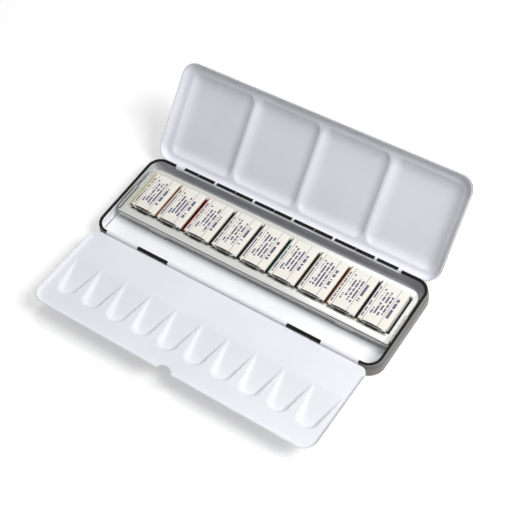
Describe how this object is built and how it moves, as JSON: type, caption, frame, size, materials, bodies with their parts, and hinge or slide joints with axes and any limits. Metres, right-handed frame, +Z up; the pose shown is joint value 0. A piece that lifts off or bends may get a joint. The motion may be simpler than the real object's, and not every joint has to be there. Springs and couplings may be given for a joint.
{
  "type": "watercolor paint box",
  "caption": "Folding metal paint box with a hinged mixing lid, a fold-out wash palette, a brush trough and a lift-out holder of wrapped paint pans.",
  "frame": {"origin": "middle of the flat underside of the base tray", "axes": "+X along the box to the viewer's right, +Y from the front palette to the lid hinge, +Z up"},
  "size_m": [0.2312, 0.2002, 0.0632],
  "materials": {
    "tray_enamel": "gloss black enamel outside, white enamel inside",
    "lid_enamel": "gloss white enamel inside, black outside",
    "flap_enamel": "gloss white enamel on both sides",
    "holder_enamel": "gloss white enamel",
    "pin_steel": "drawn wire",
    "cup_plastic": "moulded white",
    "pan_foil": "creased bright foil",
    "label_paper": "printed matt paper",
    "cake_1": "dry yellow watercolour cake",
    "cake_2": "dry orange watercolour cake",
    "cake_3": "dry red watercolour cake",
    "cake_4": "dry violet watercolour cake",
    "cake_5": "dry blue watercolour cake",
    "cake_6": "dry green watercolour cake",
    "cake_7": "dry olive watercolour cake",
    "cake_8": "dry sienna watercolour cake",
    "cake_9": "dry black watercolour cake"
  },
  "bodies": {
    "base": {"base_tray": "tray_enamel", "lid_hinge_pin": "pin_steel", "flap_hinge_pin": "pin_steel"},
    "lid": {"lid_palette": "lid_enamel"},
    "flap": {"flap_palette": "flap_enamel"},
    "holder": {"pan_holder": "holder_enamel"},
    "pan_1": {"pan_1_cup": "cup_plastic", "pan_1_cake": "cake_1", "pan_1_foil": "pan_foil", "pan_1_label": "label_paper"},
    "pan_2": {"pan_2_cup": "cup_plastic", "pan_2_cake": "cake_2", "pan_2_foil": "pan_foil", "pan_2_label": "label_paper"},
    "pan_3": {"pan_3_cup": "cup_plastic", "pan_3_cake": "cake_3", "pan_3_foil": "pan_foil", "pan_3_label": "label_paper"},
    "pan_4": {"pan_4_cup": "cup_plastic", "pan_4_cake": "cake_4", "pan_4_foil": "pan_foil", "pan_4_label": "label_paper"},
    "pan_5": {"pan_5_cup": "cup_plastic", "pan_5_cake": "cake_5", "pan_5_foil": "pan_foil", "pan_5_label": "label_paper"},
    "pan_6": {"pan_6_cup": "cup_plastic", "pan_6_cake": "cake_6", "pan_6_foil": "pan_foil", "pan_6_label": "label_paper"},
    "pan_7": {"pan_7_cup": "cup_plastic", "pan_7_cake": "cake_7", "pan_7_foil": "pan_foil", "pan_7_label": "label_paper"},
    "pan_8": {"pan_8_cup": "cup_plastic", "pan_8_cake": "cake_8", "pan_8_foil": "pan_foil", "pan_8_label": "label_paper"},
    "pan_9": {"pan_9_cup": "cup_plastic", "pan_9_cake": "cake_9", "pan_9_foil": "pan_foil", "pan_9_label": "label_paper"}
  },
  "joints": [
    {"name": "lid_hinge", "type": "hinge", "parent": "base", "child": "lid", "pos_m": [0, 0.0368, 0.0121], "axis": [1, 0, 0], "range_deg": [0, 135]},
    {"name": "flap_hinge", "type": "hinge", "parent": "base", "child": "flap", "pos_m": [0, -0.0363, 0.0121], "axis": [-1, 0, 0], "range_deg": [0, 177]},
    {"name": "holder_lift", "type": "slide", "parent": "base", "child": "holder", "axis": [0, 0, -1], "range_m": [-0.025, 0]},
    {"name": "pan_1_lift", "type": "slide", "parent": "holder", "child": "pan_1", "axis": [0, 0, -1], "range_m": [-0.02, 0]},
    {"name": "pan_2_lift", "type": "slide", "parent": "holder", "child": "pan_2", "axis": [0, 0, -1], "range_m": [-0.02, 0]},
    {"name": "pan_3_lift", "type": "slide", "parent": "holder", "child": "pan_3", "axis": [0, 0, -1], "range_m": [-0.02, 0]},
    {"name": "pan_4_lift", "type": "slide", "parent": "holder", "child": "pan_4", "axis": [0, 0, -1], "range_m": [-0.02, 0]},
    {"name": "pan_5_lift", "type": "slide", "parent": "holder", "child": "pan_5", "axis": [0, 0, -1], "range_m": [-0.02, 0]},
    {"name": "pan_6_lift", "type": "slide", "parent": "holder", "child": "pan_6", "axis": [0, 0, -1], "range_m": [-0.02, 0]},
    {"name": "pan_7_lift", "type": "slide", "parent": "holder", "child": "pan_7", "axis": [0, 0, -1], "range_m": [-0.02, 0]},
    {"name": "pan_8_lift", "type": "slide", "parent": "holder", "child": "pan_8", "axis": [0, 0, -1], "range_m": [-0.02, 0]},
    {"name": "pan_9_lift", "type": "slide", "parent": "holder", "child": "pan_9", "axis": [0, 0, -1], "range_m": [-0.02, 0]}
  ]
}
